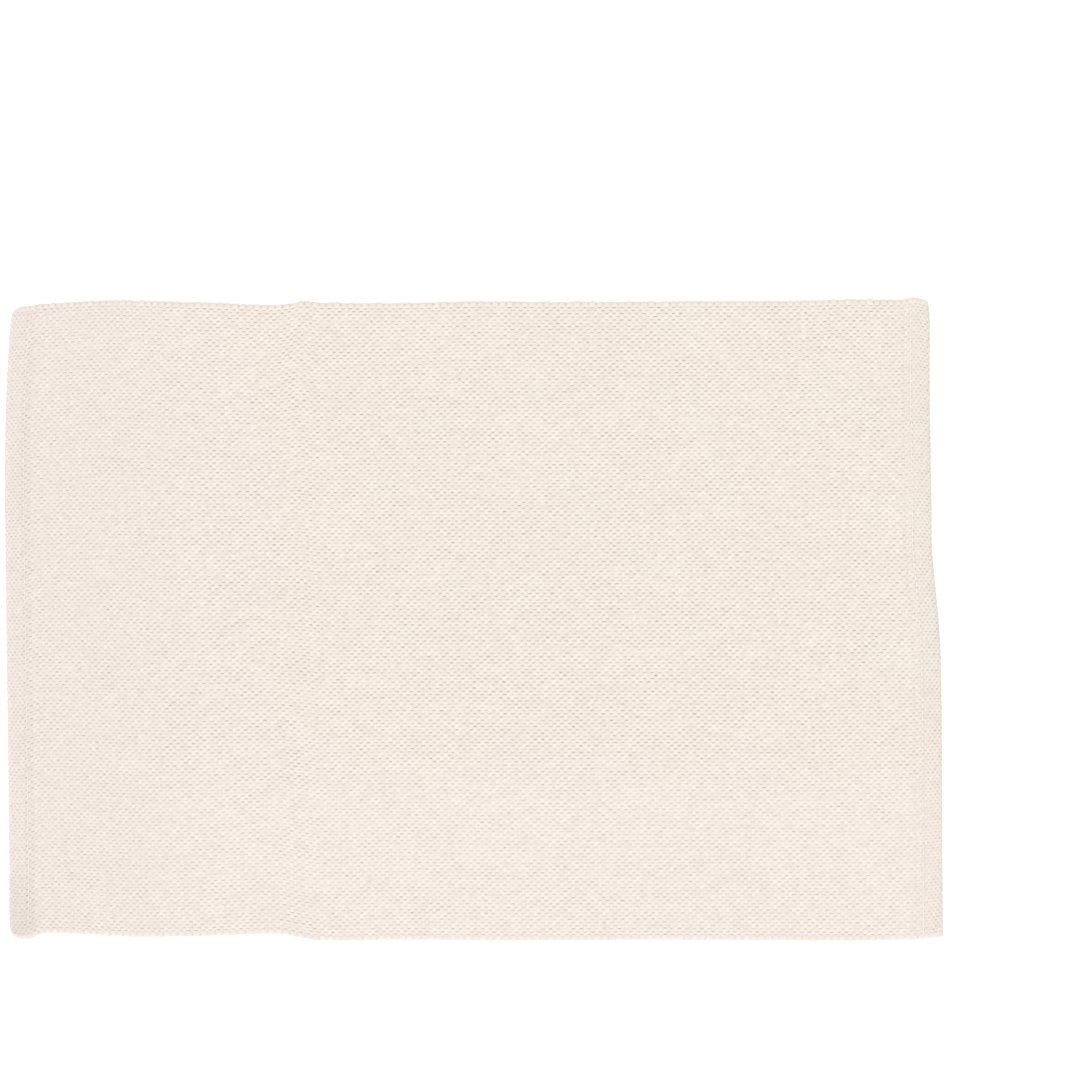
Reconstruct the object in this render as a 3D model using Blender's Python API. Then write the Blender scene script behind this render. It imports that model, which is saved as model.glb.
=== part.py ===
"""A chunky ribbed cotton placemat lying flat.

One woven cloth. Its long sides are selvedges, where each turn of the thick weft stands out as a small
loop. Its short ends are hems, turned under once, so the cloth is thicker there and ends in a round fold.
X runs along the long side, Y along the short side, and the mat rests on Z = 0.
"""

from collections import namedtuple
from math import hypot, pi, sin

import bmesh
import bpy

MM = 0.001

# Driving sizes, in metres
MAT_LENGTH = 480 * MM  # hem fold to hem fold
MAT_WIDTH = 330 * MM  # selvedge to selvedge
CLOTH_THICKNESS = 2.6 * MM
HEM_THICKNESS = 3.8 * MM  # two layers of the thinner cloth that is woven for the hem
HEM_WIDTH = 10 * MM
HEM_STEP = 3 * MM  # over which the hem falls to one thickness
STITCH_GROOVE = 0.5 * MM  # how deep the stitching pulls the hem's inner side down
STITCH_GROOVE_WIDTH = 3 * MM

# The selvedge loops: one for every two picks of the weft, as far as the hems
LOOP_COUNT = 126  # along one long side
LOOP_PITCH = MAT_LENGTH / LOOP_COUNT
LOOP_DEPTH = 0.8 * MM  # from the top of a loop down to the notch between two
STEPS_PER_LOOP = 4
LOOPS_PER_COLUMN = 2
HEM_LOOPS = 4  # the columns between the hems start this many loops in

# The side of the cloth in section: how far in from the edge, and the share of the thickness there
RIM_INSET = 0.7 * MM
RIM_HEIGHT = 0.85
SIDE_HEIGHT = 0.45
TOP_INSET = 2.6 * MM
FOOT_INSET = 1.4 * MM

# The surface between the edges
ROW_COUNT = 14
CORNER_STEP = 4 * MM  # the straight stretches of a short side next to its corners
SOFT_WAVE = 0.2 * MM
SOFT_WAVE_LENGTH = 150 * MM
SOFT_WAVE_WIDTH = 105 * MM

COTTON_COLOUR = (0.86, 0.79, 0.69, 1.0)
COTTON_ROUGHNESS = 0.95

# How far each side lies outside the plain rectangle, in millimetres, along that side from its middle
EdgePoint = namedtuple("EdgePoint", "along out")

TOP_SIDE = [
    EdgePoint(-240, -4.2),
    EdgePoint(-237, -2.6),
    EdgePoint(-231, -2.0),
    EdgePoint(-227, -1.0),
    EdgePoint(-211, 0.0),
    EdgePoint(-187, 1.0),
    EdgePoint(-160, 0.3),
    EdgePoint(-117, -1.0),
    EdgePoint(-100, -1.3),
    EdgePoint(-88, 0.6),
    EdgePoint(-78, -0.2),
    EdgePoint(-30, -0.3),
    EdgePoint(0, 0.4),
    EdgePoint(43, 0.2),
    EdgePoint(144, 0.7),
    EdgePoint(173, 0.8),
    EdgePoint(197, 1.5),
    EdgePoint(225, 1.2),
    EdgePoint(232, 2.2),
    EdgePoint(237, 1.5),
    EdgePoint(240, -0.2),
]
BOTTOM_SIDE = [
    EdgePoint(-240, -1.2),
    EdgePoint(-237, 0.1),
    EdgePoint(-232, 0.2),
    EdgePoint(-228, -1.3),
    EdgePoint(-224, -2.9),
    EdgePoint(-204, -2.4),
    EdgePoint(-178, -1.1),
    EdgePoint(-142, -1.4),
    EdgePoint(-102, -2.6),
    EdgePoint(-90, -0.3),
    EdgePoint(-79, 1.0),
    EdgePoint(-38, 0.5),
    EdgePoint(14, 1.0),
    EdgePoint(107, 0.6),
    EdgePoint(180, 1.0),
    EdgePoint(221, 0.6),
    EdgePoint(234, -0.3),
    EdgePoint(240, -1.4),
]
LEFT_SIDE = [
    EdgePoint(-165, -1.1),
    EdgePoint(-161, 0.1),
    EdgePoint(-155, 0.6),
    EdgePoint(-109, 0.9),
    EdgePoint(-62, 1.5),
    EdgePoint(-15, 2.2),
    EdgePoint(45, 2.8),
    EdgePoint(78, 3.1),
    EdgePoint(109, 2.7),
    EdgePoint(142, 1.3),
    EdgePoint(158, 0.1),
    EdgePoint(162, -0.5),
    EdgePoint(165, -1.8),
]
RIGHT_SIDE = [
    EdgePoint(-165, 3.0),
    EdgePoint(-129, 2.8),
    EdgePoint(-87, 2.6),
    EdgePoint(-41, 2.3),
    EdgePoint(-10, 1.5),
    EdgePoint(19, -1.0),
    EdgePoint(36, -2.6),
    EdgePoint(57, -2.9),
    EdgePoint(122, -3.9),
    EdgePoint(155, -3.9),
    EdgePoint(165, -4.6),
]

# Where the cloth doesn't lie quite down: the middle of each rise, how far it reaches, and how high it is
Lift = namedtuple("Lift", "x y reach height")

LIFTS = [
    Lift(-148, 168, 48, 1.5),
    Lift(2, 168, 50, 1.2),
    Lift(240, 168, 62, 1.6),
    Lift(246, 86, 66, 1.3),
    Lift(-242, -166, 40, 1.1),
    Lift(-100, -168, 42, 0.9),
    Lift(128, -170, 46, 0.7),
    Lift(-247, 42, 50, 0.8),
]


def clear_scene():
    for thing in list(bpy.data.objects):
        bpy.data.objects.remove(thing, do_unlink=True)


def edge_out(side, along):
    """How far that side stands out at a place along it, on a smooth curve through its points."""
    at = min(max(along / MM, side[0].along), side[-1].along)
    last = len(side) - 2
    i = next((k for k in range(last) if at < side[k + 1].along), last)
    before, start, end, after = side[max(i - 1, 0)], side[i], side[i + 1], side[min(i + 2, last + 1)]
    span = end.along - start.along
    start_slope = (end.out - before.out) / (end.along - before.along)
    end_slope = (after.out - start.out) / (after.along - start.along)
    t = (at - start.along) / span
    out = (
        (2 * t**3 - 3 * t**2 + 1) * start.out
        + (t**3 - 2 * t**2 + t) * span * start_slope
        + (3 * t**2 - 2 * t**3) * end.out
        + (t**3 - t**2) * span * end_slope
    )
    return out * MM


def on_cloth(a, b):
    """Where a point (a, b) of the plain rectangle lies once its four sides are drawn out of true."""
    right_share = a / MAT_LENGTH + 0.5
    top_share = b / MAT_WIDTH + 0.5
    x = a + right_share * edge_out(RIGHT_SIDE, b) - (1 - right_share) * edge_out(LEFT_SIDE, b)
    y = b + top_share * edge_out(TOP_SIDE, a) - (1 - top_share) * edge_out(BOTTOM_SIDE, a)
    return x, y


def smooth_step(t):
    t = min(max(t, 0.0), 1.0)
    return t * t * (3 - 2 * t)


def lift_at(x, y):
    total = 0.0
    for lift in LIFTS:
        near = 1 - (hypot(x / MM - lift.x, y / MM - lift.y) / lift.reach) ** 2
        total += lift.height * MM * max(near, 0.0) ** 2
    return total


def thickness_at(a, b):
    """One thickness in the body, two in the hems, with a shallow groove along the stitching."""
    from_fold = MAT_LENGTH / 2 - abs(a)
    hem_share = 1 - smooth_step((from_fold - HEM_WIDTH) / HEM_STEP)
    groove = max(1 - (2 * (from_fold - HEM_WIDTH) / STITCH_GROOVE_WIDTH) ** 2, 0.0)
    wave = sin(2 * pi * a / SOFT_WAVE_LENGTH) * sin(2 * pi * b / SOFT_WAVE_WIDTH + 1)
    body = CLOTH_THICKNESS + SOFT_WAVE * wave * (1 - hem_share)
    return body + (HEM_THICKNESS - CLOTH_THICKNESS) * hem_share - STITCH_GROOVE * groove


def loop_inset(a):
    """How far the selvedge is in from the tops of its loops: round loops with a notch between them."""
    from_fold = MAT_LENGTH / 2 - abs(a)
    loop_top = abs(sin(pi * from_fold / LOOP_PITCH)) ** 0.5
    return LOOP_DEPTH * (1 - loop_top) * smooth_step((from_fold - HEM_WIDTH) / HEM_STEP)


def places_between(ends, step):
    """Evenly spaced places from one end up to, and not including, the other."""
    start, end = ends
    count = max(1, round((end - start) / step))
    return [start + (end - start) * k / count for k in range(count)]


class Cloth:
    """The mesh under construction, with the runs of points that go round the cloth's edge."""

    def __init__(self):
        self.mesh = bmesh.new()
        self.columns = self.column_places()
        half = MAT_WIDTH / 2 - TOP_INSET
        self.rows = [-half + 2 * half * k / ROW_COUNT for k in range(ROW_COUNT + 1)]

    def column_places(self):
        """Columns close together across each hem, and one for every second loop between the hems."""
        half = MAT_LENGTH / 2
        hem = [TOP_INSET, HEM_WIDTH - STITCH_GROOVE_WIDTH / 2, HEM_WIDTH, HEM_WIDTH + HEM_STEP]
        loops = range(HEM_LOOPS, LOOP_COUNT - HEM_LOOPS + 1, LOOPS_PER_COLUMN)
        body = [k * LOOP_PITCH - half for k in loops]
        return [d - half for d in hem] + body + [half - d for d in reversed(hem)]

    def point(self, a, b, inset, height_share, notched=False):
        """A new point over (a, b), drawn in from the nearest sides by the inset."""
        notch = loop_inset(a) if notched else 0.0
        inner_a = min(max(a, inset - MAT_LENGTH / 2), MAT_LENGTH / 2 - inset)
        inner_b = min(max(b, inset + notch - MAT_WIDTH / 2), MAT_WIDTH / 2 - inset - notch)
        x, y = on_cloth(inner_a, inner_b)
        z = lift_at(x, y) + height_share * thickness_at(inner_a, inner_b)
        return self.mesh.verts.new((x, y, z))

    def grid(self, inset, height_share):
        """The points of one face of the cloth, by column and row, as far as that inset from the edge."""
        reach_a = MAT_LENGTH / 2 - inset
        reach_b = MAT_WIDTH / 2 - inset
        columns = [-reach_a] + self.columns[1:-1] + [reach_a]
        rows = [-reach_b] + self.rows[1:-1] + [reach_b]
        return [[self.point(a, b, 0.0, height_share) for b in rows] for a in columns]

    def edge_places(self):
        """(a, b) places round the edge, in one run for each stretch between neighbouring grid points.

        The grid is the same about its middle both ways, so the far sides repeat the near ones.
        """
        half_a, half_b = MAT_LENGTH / 2, MAT_WIDTH / 2
        columns = [-half_a] + self.columns[1:-1] + [half_a]
        rows = [-half_b] + self.rows[1:-1] + [half_b]
        along = [places_between(ends, LOOP_PITCH / STEPS_PER_LOOP) for ends in zip(columns, columns[1:])]
        across = [[start] for start in rows[:-1]]
        across[0] = places_between(rows[:2], CORNER_STEP)
        across[-1] = places_between(rows[-2:], CORNER_STEP)
        bottom = [[(a, -half_b) for a in places] for places in along]
        right = [[(half_a, b) for b in places] for places in across]
        top = [[(-a, half_b) for a in places] for places in along]
        left = [[(-half_a, -b) for b in places] for places in across]
        return bottom + right + top + left

    def edge_ring(self, places, inset, height_share):
        """A ring of points at one height of the cloth's side, in runs that each end where the next starts."""
        runs = [[self.point(a, b, inset, height_share, notched=True) for a, b in run] for run in places]
        return [run + [after[0]] for run, after in zip(runs, runs[1:] + runs[:1])]

    def fill_grid(self, grid, flip):
        for left, right in zip(grid, grid[1:]):
            for k in range(len(left) - 1):
                corners = (left[k], right[k], right[k + 1], left[k + 1])
                self.mesh.faces.new(corners[::-1] if flip else corners)

    def join(self, lower, upper):
        """Triangles between two runs of points that start and end side by side."""
        i = j = 0
        while i < len(lower) - 1 or j < len(upper) - 1:
            lower_share = (i + 0.5) / (len(lower) - 1)
            upper_share = (j + 0.5) / (len(upper) - 1)
            if lower_share < upper_share:
                self.mesh.faces.new((lower[i], lower[i + 1], upper[j]))
                i += 1
            else:
                self.mesh.faces.new((lower[i], upper[j + 1], upper[j]))
                j += 1

    def join_rings(self, lower, upper):
        for lower_run, upper_run in zip(lower, upper):
            self.join(lower_run, upper_run)


def grid_border(grid):
    """The outermost points of a grid, in the same order and runs as the edge rings."""
    bottom = [column[0] for column in grid]
    right = grid[-1]
    top = [column[-1] for column in reversed(grid)]
    left = list(reversed(grid[0]))
    ring = bottom[:-1] + right[:-1] + top[:-1] + left[:-1]
    return [[start, end] for start, end in zip(ring, ring[1:] + ring[:1])]


def build_cloth_mesh():
    cloth = Cloth()
    places = cloth.edge_places()
    underside = cloth.grid(FOOT_INSET, 0.0)
    side = cloth.edge_ring(places, 0.0, SIDE_HEIGHT)
    rim = cloth.edge_ring(places, RIM_INSET, RIM_HEIGHT)
    upper_side = cloth.grid(TOP_INSET, 1.0)
    cloth.fill_grid(underside, flip=True)
    cloth.join_rings(grid_border(underside), side)
    cloth.join_rings(side, rim)
    cloth.join_rings(rim, grid_border(upper_side))
    cloth.fill_grid(upper_side, flip=False)
    return cloth.mesh


def centre_on_origin(mesh):
    """Moves the mesh so that the middle of its footprint is at the origin."""
    for axis in (0, 1):
        places = [vert.co[axis] for vert in mesh.verts]
        middle = (min(places) + max(places)) / 2
        for vert in mesh.verts:
            vert.co[axis] -= middle


def cotton_material():
    material = bpy.data.materials.new("natural_cotton")
    material.use_nodes = True
    shader = material.node_tree.nodes["Principled BSDF"]
    shader.inputs["Base Color"].default_value = COTTON_COLOUR
    shader.inputs["Roughness"].default_value = COTTON_ROUGHNESS
    shader.inputs["Metallic"].default_value = 0.0
    return material


def add_placemat():
    mesh = build_cloth_mesh()
    centre_on_origin(mesh)
    data = bpy.data.meshes.new("placemat_cloth")
    mesh.to_mesh(data)
    mesh.free()
    data.shade_smooth()
    data.materials.append(cotton_material())
    bpy.context.scene.collection.objects.link(bpy.data.objects.new("placemat_cloth", data))


clear_scene()
add_placemat()
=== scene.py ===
"""The looks of a chunky ribbed cotton placemat that lies flat on a pale surface.

The cloth is a warp-faced plain weave. Thick picks of weft run across the mat, along Y, and pairs of warp
threads, the ends, run along it, along X. Where an end passes over a pick it shows as a plump float, and where
it dips under one it leaves a small dark slot between the floats on either side. On the long sides each turn of
the weft stands out as a loop. The short ends are turned under once and sewn down, and their picks are finer
and closer.

Places on the cloth are given in three ways. u and v count yarns: u is the number of a pick and v the number of
an end. a and b are metres along X and Y on the plain rectangle that the mat would be if its sides were
straight. e is the length along the cloth from its middle, which goes on round the folds of the hems.

A side is 1 or -1: the back or front for the selvedges, and the right or left for the hems.
"""

from collections import namedtuple
from math import atan2, cos, pi, sin

import bpy
import numpy as np
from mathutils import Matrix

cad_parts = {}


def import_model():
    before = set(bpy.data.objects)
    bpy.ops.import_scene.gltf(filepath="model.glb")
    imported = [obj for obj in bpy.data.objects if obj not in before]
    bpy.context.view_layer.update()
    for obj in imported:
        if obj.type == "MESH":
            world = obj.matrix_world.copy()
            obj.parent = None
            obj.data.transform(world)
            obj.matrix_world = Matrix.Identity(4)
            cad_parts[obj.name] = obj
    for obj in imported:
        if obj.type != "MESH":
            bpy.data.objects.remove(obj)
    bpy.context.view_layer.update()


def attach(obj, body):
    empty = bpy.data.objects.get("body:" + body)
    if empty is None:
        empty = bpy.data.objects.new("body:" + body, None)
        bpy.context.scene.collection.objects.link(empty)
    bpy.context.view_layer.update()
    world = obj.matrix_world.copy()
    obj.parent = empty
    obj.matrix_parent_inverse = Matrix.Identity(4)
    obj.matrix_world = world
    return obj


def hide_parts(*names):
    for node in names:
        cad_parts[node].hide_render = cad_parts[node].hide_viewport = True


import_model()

MM = 0.001
NODE = "placemat_cloth"

# ---- The cloth's sizes, as its solid has them ----

MAT_LENGTH = 480 * MM  # hem fold to hem fold
MAT_WIDTH = 330 * MM  # selvedge to selvedge
CLOTH_THICKNESS = 2.6 * MM
HEM_THICKNESS = 3.8 * MM
HEM_WIDTH = 10 * MM  # from the fold to the sewing
HEM_STEP = 3 * MM
STITCH_GROOVE = 0.5 * MM
STITCH_GROOVE_WIDTH = 3 * MM
SOFT_WAVE = 0.2 * MM
SOFT_WAVE_LENGTH = 150 * MM
SOFT_WAVE_WIDTH = 105 * MM
EDGE_REACH = 2.6 * MM  # how far the round edge of the cloth stands out past its flat top

# How far each side lies outside the plain rectangle, in millimetres, along that side from its middle
EdgePoint = namedtuple("EdgePoint", "along out")

TOP_SIDE = [
    EdgePoint(-240, -4.2),
    EdgePoint(-237, -2.6),
    EdgePoint(-231, -2.0),
    EdgePoint(-227, -1.0),
    EdgePoint(-211, 0.0),
    EdgePoint(-187, 1.0),
    EdgePoint(-160, 0.3),
    EdgePoint(-117, -1.0),
    EdgePoint(-100, -1.3),
    EdgePoint(-88, 0.6),
    EdgePoint(-78, -0.2),
    EdgePoint(-30, -0.3),
    EdgePoint(0, 0.4),
    EdgePoint(43, 0.2),
    EdgePoint(144, 0.7),
    EdgePoint(173, 0.8),
    EdgePoint(197, 1.5),
    EdgePoint(225, 1.2),
    EdgePoint(232, 2.2),
    EdgePoint(237, 1.5),
    EdgePoint(240, -0.2),
]
BOTTOM_SIDE = [
    EdgePoint(-240, -1.2),
    EdgePoint(-237, 0.1),
    EdgePoint(-232, 0.2),
    EdgePoint(-228, -1.3),
    EdgePoint(-224, -2.9),
    EdgePoint(-204, -2.4),
    EdgePoint(-178, -1.1),
    EdgePoint(-142, -1.4),
    EdgePoint(-102, -2.6),
    EdgePoint(-90, -0.3),
    EdgePoint(-79, 1.0),
    EdgePoint(-38, 0.5),
    EdgePoint(14, 1.0),
    EdgePoint(107, 0.6),
    EdgePoint(180, 1.0),
    EdgePoint(221, 0.6),
    EdgePoint(234, -0.3),
    EdgePoint(240, -1.4),
]
LEFT_SIDE = [
    EdgePoint(-165, -1.1),
    EdgePoint(-161, 0.1),
    EdgePoint(-155, 0.6),
    EdgePoint(-109, 0.9),
    EdgePoint(-62, 1.5),
    EdgePoint(-15, 2.2),
    EdgePoint(45, 2.8),
    EdgePoint(78, 3.1),
    EdgePoint(109, 2.7),
    EdgePoint(142, 1.3),
    EdgePoint(158, 0.1),
    EdgePoint(162, -0.5),
    EdgePoint(165, -1.8),
]
RIGHT_SIDE = [
    EdgePoint(-165, 3.0),
    EdgePoint(-129, 2.8),
    EdgePoint(-87, 2.6),
    EdgePoint(-41, 2.3),
    EdgePoint(-10, 1.5),
    EdgePoint(19, -1.0),
    EdgePoint(36, -2.6),
    EdgePoint(57, -2.9),
    EdgePoint(122, -3.9),
    EdgePoint(155, -3.9),
    EdgePoint(165, -4.6),
]

# Where the cloth doesn't lie quite down: the middle of each rise, how far it reaches, and its height, in mm
Lift = namedtuple("Lift", "x y reach height")

LIFTS = [
    Lift(-148, 168, 48, 1.5),
    Lift(2, 168, 50, 1.2),
    Lift(240, 168, 62, 1.6),
    Lift(246, 86, 66, 1.3),
    Lift(-242, -166, 40, 1.1),
    Lift(-100, -168, 42, 0.9),
    Lift(128, -170, 46, 0.7),
    Lift(-247, 42, 50, 0.8),
]

# ---- The weave ----

# The pitch of the yarns, in millimetres, by how far along the mat (picks) or across it (ends) they lie
PitchPoint = namedtuple("PitchPoint", "along pitch")

PICK_PITCH = [
    PitchPoint(-236, 1.06),
    PitchPoint(-231, 1.35),
    PitchPoint(-227, 1.66),
    PitchPoint(-183, 1.68),
    PitchPoint(-166, 1.74),
    PitchPoint(-152, 1.93),
    PitchPoint(-110, 1.93),
    PitchPoint(-72, 1.86),
    PitchPoint(-33, 1.87),
    PitchPoint(8, 1.92),
    PitchPoint(50, 1.97),
    PitchPoint(91, 1.93),
    PitchPoint(133, 1.89),
    PitchPoint(164, 1.92),
    PitchPoint(195, 1.89),
    PitchPoint(222, 1.84),
    PitchPoint(229, 1.45),
    PitchPoint(234, 1.15),
]
END_PITCH = [
    PitchPoint(-161, 1.62),
    PitchPoint(-135, 1.62),
    PitchPoint(-109, 1.63),
    PitchPoint(-83, 1.63),
    PitchPoint(-73, 1.66),
    PitchPoint(-5, 1.65),
    PitchPoint(10, 1.63),
    PitchPoint(46, 1.63),
    PitchPoint(62, 1.66),
    PitchPoint(98, 1.62),
    PitchPoint(132, 1.60),
    PitchPoint(163, 1.65),
]

FURROW_INSET = 3.0 * MM  # from the tops of the selvedge loops in to the furrow behind them
HEM_UNDER = 9 * MM  # how much of the turned-under cloth lies flat underneath
RELIEF = 0.36 * MM  # from the bottoms of the shallow dips up to the top of a float
FULL_PITCH = 1.9 * MM  # the relief is lower where the picks lie closer than this
FINE_LIMITS = (0.45, 1.05)
FINE_SHADE = 1.2  # how much darker the slots are where the relief is lower
RELIEF_OUT = 0.5  # the share of the relief that stands out from the smooth surface, on the upper face
HEM_EDGE = 15.5 * MM  # from the fold to a faint ridge on the upper face, where the gap between the layers ends
HEM_RIDGE = 0.14 * MM
HEM_RIDGE_WIDTH = 1.6 * MM

# Where the relief is calmer: towards the left end, towards the front, and in bands along the hems. A band's
# middle is measured from the fold, in millimetres, as its width is.
CALM_LEFT = (-188 * MM, -125 * MM)
CALM_LEFT_LOSS = 0.16
CALM_FRONT = (-100 * MM, -62 * MM)
CALM_FRONT_LOSS = 0.21
HemBand = namedtuple("HemBand", "side middle width loss")

HEM_BANDS = [
    HemBand(-1, 6.5, 4, -0.02),
    HemBand(-1, 14, 4, 0.06),
    HemBand(1, 9.5, 5, 0.20),
    HemBand(1, 14.5, 4, 0.12),
]

# How much darker the cloth is made, in units of the yarns' random brightness: at one hem's end, as painted
# shade where it curls away from the light; towards the left end; and in the hems
CURLED_CORNER = (-0.235, -0.158)  # in metres
CURL_REACH = (14 * MM, 34 * MM)
CURL_PAINTED_SHADE = 2.4
LEFT_TONE = 0.7
HEM_TONE = {1: 1.05, -1: 0.4}

# Where their colour turns slowly from cream to a pinker white
BLUSH_LEFT = (-240 * MM, -20 * MM)
BLUSH_FRONT = (-165 * MM, 0 * MM)
BLUSH_FRONT_SHARE = 0.8

# A float and a slot in yarn numbers from the crossing's middle, and their heights as shares of the relief
FLOAT_TOP = 1.0
THREAD_PLACE = 0.42  # the two threads of an end lie this far to either side of its middle
THREAD_DIP = 0.84  # the height between the two threads
COLUMN_VALLEY = 0.30  # where four floats meet, midway between two picks
SLOT_TIP = 0.49
TIP_HEIGHT = 0.20
SLOT_CORNER_U = 0.36
SLOT_CORNER_V = 0.25
CORNER_HEIGHT = 0.52
SLOT_FLOOR_U = 0.27
SLOT_DEPTH = 1.0
SHADE_LIMITS = (0.15, 1.7)

# The outermost end: how much lower its floats are, and how much deeper and darker its slots
OUTER_DROP = 0.30
OUTER_MIDDLE_DROP = 1.5  # the middles of its floats drop this many times as far
OUTER_DEPTH = 0.5
OUTER_SHADE = 0.6

# Painted shade and highlight: how much darker than the yarn's mean the dips are, and how much lighter the
# float tops
DIP_PAINTED_SHADE = 0.8
MIDDLE_PAINTED_HIGHLIGHT = 0.5
THREAD_PAINTED_HIGHLIGHT = 0.9

# How the yarns wander from straight: the middle, reach and shift of each soft push, in millimetres
Drift = namedtuple("Drift", "x y reach_x reach_y shift_x shift_y")

DRIFTS = [
    Drift(-205, 138, 60, 34, 1.3, 0.0),
    Drift(185, 136, 75, 34, 1.2, 0.0),
    Drift(15, -50, 150, 60, 0.8, 0.3),
    Drift(150, -45, 85, 62, 0.9, -0.3),
    Drift(-145, -122, 70, 42, -0.8, 0.2),
    Drift(-100, 60, 90, 60, -0.5, 0.4),
    Drift(60, 80, 80, 50, 0.5, -0.4),
    Drift(-60, -100, 80, 50, 0.4, 0.4),
]
DRIFT_FADE = 14 * MM  # the push dies away over this distance from each side

# What starts the random draws of the weave, of each selvedge and of each row of sewing
WEAVE_SEED = 41
SELVEDGE_SEED = {1: 44, -1: 42}
SEWING_SEED = {1: 49, -1: 47}

# How finely the outline, the pitches and the slope of the surface are measured
OUTLINE_SAMPLES = 2000
PITCH_SAMPLES = 8001
SLOPE_STEP = 0.2 * MM
SMALLEST_LENGTH = 1e-20  # keeps a normal of no length from being divided by zero


def smooth_step(t):
    t = np.clip(t, 0.0, 1.0)
    return t * t * (3 - 2 * t)


def from_table(table, places):
    """The table's second column at these places along it, which are in metres."""
    return np.interp(places / MM, [row[0] for row in table], [row[1] for row in table])


def edge_out(table, along):
    """How far the edge in that table stands out at places along it, on a smooth curve through its points."""
    places, outs = np.array(table).T * MM
    last = len(table) - 1
    lower = np.maximum(np.arange(last + 1) - 1, 0)
    upper = np.minimum(np.arange(last + 1) + 1, last)
    slopes = (outs[upper] - outs[lower]) / (places[upper] - places[lower])
    at = np.clip(along, places[0], places[-1])
    i = np.clip(np.searchsorted(places, at, side="right") - 1, 0, last - 1)
    span = places[i + 1] - places[i]
    t = (at - places[i]) / span
    return (
        (2 * t**3 - 3 * t**2 + 1) * outs[i]
        + (t**3 - 2 * t**2 + t) * span * slopes[i]
        + (3 * t**2 - 2 * t**3) * outs[i + 1]
        + (t**3 - t**2) * span * slopes[i + 1]
    )


def on_cloth(a, b):
    """Where places of the plain rectangle lie once its four sides are drawn out of true."""
    right_share = a / MAT_LENGTH + 0.5
    top_share = b / MAT_WIDTH + 0.5
    x = a + right_share * edge_out(RIGHT_SIDE, b) - (1 - right_share) * edge_out(LEFT_SIDE, b)
    y = b + top_share * edge_out(TOP_SIDE, a) - (1 - top_share) * edge_out(BOTTOM_SIDE, a)
    return x, y


def outline_middle():
    """The middle of the outline's box, which is the model's origin."""
    a = np.linspace(-MAT_LENGTH / 2, MAT_LENGTH / 2, OUTLINE_SAMPLES)
    b = np.linspace(-MAT_WIDTH / 2, MAT_WIDTH / 2, OUTLINE_SAMPLES)
    left, right = on_cloth(a[:1], b)[0], on_cloth(a[-1:], b)[0]
    bottom, top = on_cloth(a, b[:1])[1], on_cloth(a, b[-1:])[1]
    return (left.min() + right.max()) / 2, (bottom.min() + top.max()) / 2


MIDDLE_X, MIDDLE_Y = outline_middle()


def lift_at(x, y):
    total = np.zeros(np.broadcast(x, y).shape)
    for lift in LIFTS:
        near = 1 - (np.hypot(x / MM - lift.x, y / MM - lift.y) / lift.reach) ** 2
        total += lift.height * MM * np.maximum(near, 0.0) ** 2
    return total


def thickness_at(a, b):
    """One thickness in the body, two in the hems, with a shallow groove along the sewing."""
    from_fold = MAT_LENGTH / 2 - np.abs(a)
    hem_share = 1 - smooth_step((from_fold - HEM_WIDTH) / HEM_STEP)
    groove = np.maximum(1 - (2 * (from_fold - HEM_WIDTH) / STITCH_GROOVE_WIDTH) ** 2, 0.0)
    wave = np.sin(2 * pi * a / SOFT_WAVE_LENGTH) * np.sin(2 * pi * b / SOFT_WAVE_WIDTH + 1)
    body = CLOTH_THICKNESS + SOFT_WAVE * wave * (1 - hem_share)
    return body + (HEM_THICKNESS - CLOTH_THICKNESS) * hem_share - STITCH_GROOVE * groove


def drift_at(a, b):
    """How far the yarns are pushed along X and Y, which dies away towards the sides."""
    along, across = np.zeros(np.broadcast(a, b).shape), np.zeros(np.broadcast(a, b).shape)
    for push in DRIFTS:
        near = 1 - ((a / MM - push.x) / push.reach_x) ** 2 - ((b / MM - push.y) / push.reach_y) ** 2
        along += push.shift_x * MM * np.maximum(near, 0.0) ** 2
        across += push.shift_y * MM * np.maximum(near, 0.0) ** 2
    fade_a = smooth_step((MAT_LENGTH / 2 - HEM_WIDTH - np.abs(a)) / DRIFT_FADE)
    fade_b = smooth_step((MAT_WIDTH / 2 - FURROW_INSET - np.abs(b)) / DRIFT_FADE)
    return along * fade_a, across * fade_b


# ---- The cloth as a surface: over its top, round the end folds and back under ----

FOLD_START = MAT_LENGTH / 2 - EDGE_REACH
FOLD_ARC = pi * ((EDGE_REACH**2 + (HEM_THICKNESS / 2) ** 2) / 2) ** 0.5
CLOTH_END = FOLD_START + FOLD_ARC + HEM_UNDER  # the turned-under end, along the cloth from its middle
FURROW = MAT_WIDTH / 2 - FURROW_INSET


def round_fold(e):
    """The place along X, and the share of the hem's thickness, after a length e of cloth from the middle."""
    past = np.abs(e) - FOLD_START
    angle = pi * np.clip(past / FOLD_ARC, 0.0, 1.0)
    back = np.maximum(past - FOLD_ARC, 0.0)
    a = np.minimum(np.abs(e), FOLD_START) + EDGE_REACH * np.sin(angle) - back
    return np.sign(e) * a, 0.5 + 0.5 * np.cos(angle)


def surface_point(e, b):
    """Points of the cloth's smooth outer surface."""
    a, height_share = round_fold(e)
    along, across = drift_at(a, b)
    x, y = on_cloth(a + along, b + across)
    z = lift_at(x, y) + height_share * thickness_at(a, b)
    return np.stack([x - MIDDLE_X, y - MIDDLE_Y, z], axis=-1)


def surface_normal(e, b):
    along = surface_point(e + SLOPE_STEP, b) - surface_point(e - SLOPE_STEP, b)
    across = surface_point(e, b + SLOPE_STEP) - surface_point(e, b - SLOPE_STEP)
    normal = np.cross(along, across)
    return normal / np.linalg.norm(normal, axis=-1, keepdims=True)


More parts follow.
